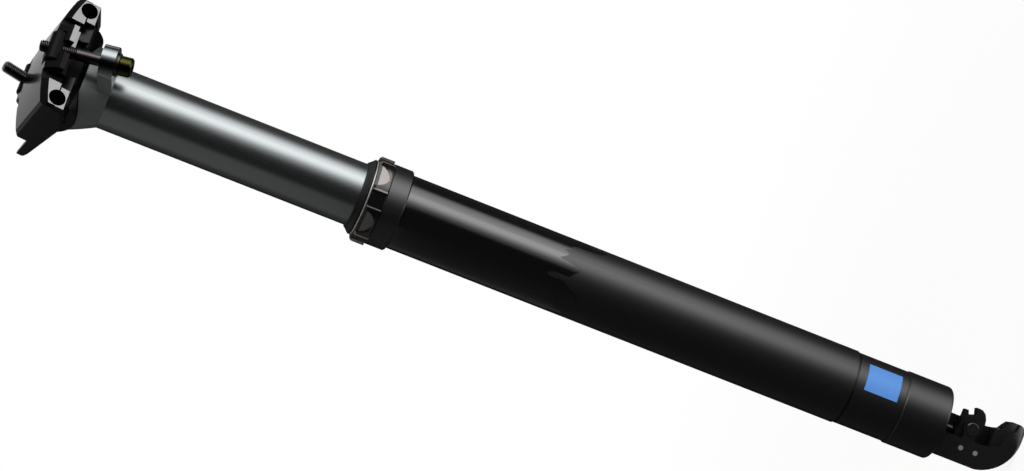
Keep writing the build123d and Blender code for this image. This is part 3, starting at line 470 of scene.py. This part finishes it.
# Washers and barrel nuts: the blacked washers have a worn metal gleam, and the nuts' thicker black
# oxide is dull and shows almost no reflection. Each nut is a pin that lies across its trough in
# the upper clamp, with the bolt screwed through it.
steel_finish = finish("blacked steel washer", {
    "Base Color": linear("#4c4a46"), "Metallic": 1.0, "Roughness": 0.3})
grain(steel_finish, pitch=0.0005, depth=0.00001, strength=0.4)
nut_steel = finish("black oxide barrel nut", {
    "Base Color": linear("#050405"), "Roughness": 0.4, "IOR": 1.15})
grain(nut_steel, pitch=0.0006, depth=0.00001, strength=0.3)
for end in ("front", "rear"):
    dress(end + "_washer", steel_finish, edge=0.0002)
    dress(end + "_barrel_nut", nut_steel, edge=0.0003)

# Actuator: a bracket of cast steel with a hooked tail under the end cap, its two dowel pins, and
# the release lever on its pivot. The lever's nose pushes the valve rod when the cable pulls it.
# The black paint lies thick and glossy over the rough casting, and the ground pins are pale dots.
cast_finish = finish("gloss black e-coated steel", {
    "Base Color": linear("#161617"), "Roughness": 0.3, "IOR": 1.5, "Coat Weight": 0.6,
    "Coat Roughness": 0.06})
grain(cast_finish, pitch=0.0016, depth=0.00004, strength=0.45)
dress("actuator_bracket", cast_finish, edge=0.0005)
dress("release_lever", cast_finish, edge=0.0004)
pin_finish = finish("ground steel pin", {
    "Base Color": linear("#8c8c8a"), "Metallic": 0.35, "Roughness": 0.5})
grain(pin_finish, pitch=0.0004, depth=0.00001, strength=0.3)
dress("bracket_pins", pin_finish)
dress("pivot_pin", cast_finish, edge=0.0002)
dress("valve_rod", blacked_finish)


# Studio: a white floor under the foot, white all round, and a drum of cards close about the post
# that only its reflections see. The cards draw the bright and dark bands down the tubes.
def seen_directly(owner):
    """1 for rays from the camera, a mirror or glass, and 0 for those that light the scene."""
    rays = add(owner, "ShaderNodeLightPath", {}, {})
    mirrored = add(owner, "ShaderNodeMath", {"operation": "MAXIMUM"}, {
        0: rays.outputs["Is Glossy Ray"], 1: rays.outputs["Is Transmission Ray"]})
    seen = add(owner, "ShaderNodeMath", {"operation": "MAXIMUM"}, {
        0: rays.outputs["Is Camera Ray"], 1: mirrored.outputs[0]})
    return seen.outputs[0]


# Matt paper that looks evenly white, and a little greyer within 0.9 m of the post.
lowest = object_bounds()[0][2]
floor_reach, near, far, near_white = 60, 0.25, 0.9, 0.88
floor_mesh = bpy.data.meshes.new("floor")
floor_mesh.from_pydata([(-floor_reach, -floor_reach, lowest), (floor_reach, -floor_reach, lowest),
                        (floor_reach, floor_reach, lowest), (-floor_reach, floor_reach, lowest)],
                       [], [(0, 1, 2, 3)])
paper = finish("matt white paper", {"Base Color": (0.92, 0.92, 0.92, 1), "Roughness": 0.9})
paper_place = add(paper, "ShaderNodeTexCoord", {}, {})
away = add(paper, "ShaderNodeVectorMath", {"operation": "LENGTH"}, {
    0: paper_place.outputs["Object"]})
whiteness = add(paper, "ShaderNodeMapRange", {"interpolation_type": "SMOOTHSTEP"}, {
    "Value": away.outputs["Value"], "From Min": near, "From Max": far, "To Min": near_white,
    "To Max": 1.0})
share = add(paper, "ShaderNodeMath", {"operation": "MULTIPLY"}, {
    0: seen_directly(paper), 1: whiteness.outputs["Result"]})
glow = add(paper, "ShaderNodeEmission", {}, {"Color": (1, 1, 1, 1), "Strength": 1.0})
both = add(paper, "ShaderNodeMixShader", {}, {
    0: share.outputs[0], 1: paper.node_tree.nodes["Principled BSDF"].outputs[0],
    2: glow.outputs[0]})
paper.node_tree.links.new(both.outputs[0], paper.node_tree.nodes["Material Output"].inputs[0])
floor_mesh.materials.append(paper)
floor = put("floor", floor_mesh)

# The cards' brightness, as pairs of an azimuth in degrees from +X towards +Y and a level. Between
# two pairs it changes evenly.
beside_foot = (
    (-180, 0.0), (-160, 0.06), (-12, 0.01), (0, 0.4), (10, 1.1), (18, 1.8), (32, 1.8), (42, 1.1),
    (52, 0.8), (66, 0.02), (180, 0.0))
beside_tube = (
    (-180, 0.0), (-172, 0.05), (-160, 0.07), (-148, 0.05), (-70, 0.02), (-12, 0.01), (0, 0.5),
    (10, 1.5), (18, 2.5), (32, 2.5), (42, 1.5), (52, 1.1), (66, 0.03), (140, 0.02), (180, 0.0))
beside_stanchion = (
    (-180, 0.0), (-172, 0.05), (-160, 0.06), (-148, 0.05), (-138, 0.15), (-78, 0.15),
    (-70, 0.02), (-20, 0.02), (-2, 0.5), (10, 1.7), (18, 2.5), (32, 2.5), (42, 1.9), (52, 1.2),
    (70, 0.05), (140, 0.05), (180, 0.0))
behind_clamp = (
    (-180, 0.4), (-150, 0.4), (-110, 0.05), (-60, 0.0), (-20, 0.0), (0, 0.4), (10, 1.6),
    (18, 2.4), (42, 2.0), (52, 1.2), (70, 0.05), (80, 0.0), (95, 0.75), (150, 0.75), (165, 0.9),
    (172, 0.7), (180, 0.4))
above_clamp = (
    (-180, 0.35), (-150, 0.35), (-100, 0.1), (-60, 0.0), (90, 0.0), (140, 0.1), (150, 0.35),
    (180, 0.35))
bands = [beside_foot, beside_tube, beside_stanchion, behind_clamp, above_clamp]
# Each pair of heights is where one band gives way to the next.
changes = ((-0.27, -0.16), (-0.035, -0.015), (0.14, 0.18), (0.46, 0.52))

# The cards stand as a drum 0.6 m across, with a small hole in its floor and its lid.
drum_radius, drum_hole, drum_top, sides = 0.3, 0.006, 0.6, 72
drum_floor = lowest + 0.001
drum_outline = ((drum_floor, drum_hole), (drum_floor, drum_radius), (drum_top, drum_radius),
                (drum_top, drum_hole))
drum = bmesh.new()
wall(drum, [ring(drum, height, [radius] * sides) for height, radius in drum_outline])
cards = bpy.data.meshes.new("cards")
drum.to_mesh(cards)
drum.free()

# Grey and white card, as a light of its own that the finishes mirror.
card_finish = bpy.data.materials.new("grey and white card")
card_finish.use_nodes = True
card_finish.node_tree.nodes.remove(card_finish.node_tree.nodes["Principled BSDF"])
card_place = add(card_finish, "ShaderNodeTexCoord", {}, {})
where = add(card_finish, "ShaderNodeSeparateXYZ", {}, {"Vector": card_place.outputs["Object"]})
azimuth = add(card_finish, "ShaderNodeMath", {"operation": "ARCTAN2"}, {
    0: where.outputs["Y"], 1: where.outputs["X"]})
around = add(card_finish, "ShaderNodeMapRange", {}, {
    "Value": azimuth.outputs[0], "From Min": -math.pi, "From Max": math.pi})
shades = []
for band in bands:
    ramp = add(card_finish, "ShaderNodeValToRGB", {}, {"Fac": around.outputs["Result"]})
    for degrees, brightness in band[1:-1]:
        ramp.color_ramp.elements.new((degrees + 180) / 360)
    for stop, (degrees, brightness) in zip(ramp.color_ramp.elements, band):
        stop.color = (brightness, brightness, brightness, 1)
    shades.append(ramp.outputs["Color"])
shade = shades[0]
for next_shade, (low, high) in zip(shades[1:], changes):
    upper = add(card_finish, "ShaderNodeMapRange", {}, {
        "Value": where.outputs["Z"], "From Min": low, "From Max": high})
    blend = add(card_finish, "ShaderNodeMix", {"data_type": "RGBA"}, {
        "Factor": upper.outputs["Result"], 6: shade, 7: next_shade})
    shade = blend.outputs[2]
card_light = add(card_finish, "ShaderNodeEmission", {}, {"Color": shade, "Strength": 1.0})
card_finish.node_tree.links.new(
    card_light.outputs[0], card_finish.node_tree.nodes["Material Output"].inputs[0])
cards.materials.append(card_finish)
card_drum = put("cards", cards)
for kind in ("camera", "diffuse", "shadow", "transmission", "volume_scatter"):
    setattr(card_drum, "visible_" + kind, False)

# The room is white to look at, and lights the post at less than half of that.
room_light = 0.45
world = bpy.data.worlds.new("white studio")
bpy.context.scene.world = world
world.use_nodes = True
sky = world.node_tree.nodes["Background"]
sky.inputs["Color"].default_value = (1, 1, 1, 1)
sky_level = add(world, "ShaderNodeMapRange", {}, {
    "Value": seen_directly(world), "To Min": room_light, "To Max": 1.0})
world.node_tree.links.new(sky_level.outputs["Result"], sky.inputs["Strength"])

# One large soft light high in front of the post, and a weaker one to its right that is kept out of
# the reflections.
lamp_distance = 1.6
for name, azimuth_deg, elevation_deg, size, power, mirrored in (
        ("key light", 25, 38, 0.9, 16, True), ("fill light", -95, 25, 1.2, 5, False)):
    lamp = bpy.data.lights.new(name, "AREA")
    lamp.shape = "DISK"
    lamp.size = size
    lamp.energy = power
    light = put(name, lamp)
    turned, raised = math.radians(azimuth_deg), math.radians(elevation_deg)
    toward = Vector((math.cos(turned) * math.cos(raised), math.sin(turned) * math.cos(raised),
                     math.sin(raised)))
    aim = toward.to_track_quat("Z", "Y").to_matrix().to_4x4()
    light.matrix_world = Matrix.Translation(toward * lamp_distance) @ aim
    light.visible_glossy = mirrored

# Camera: a long lens level with the head, looking a little down and rolled so that the post lies
# across the picture.
camera_place = Vector((1.42531, -0.92124, 0.18566))
camera_azimuth, camera_elevation, camera_roll = -33.137, 7.8, -68.5
focal_length, film_width = 147.094, 36
lens = bpy.data.cameras.new("camera")
lens.lens = focal_length
lens.sensor_width = film_width
camera = put("camera", lens)
camera.matrix_world = (Matrix.Translation(camera_place)
                       @ Matrix.Rotation(math.radians(90 + camera_azimuth), 4, "Z")
                       @ Matrix.Rotation(math.radians(90 - camera_elevation), 4, "X")
                       @ Matrix.Rotation(math.radians(camera_roll), 4, "Z"))
bpy.context.scene.camera = camera
bpy.context.scene.view_settings.view_transform = "Standard"
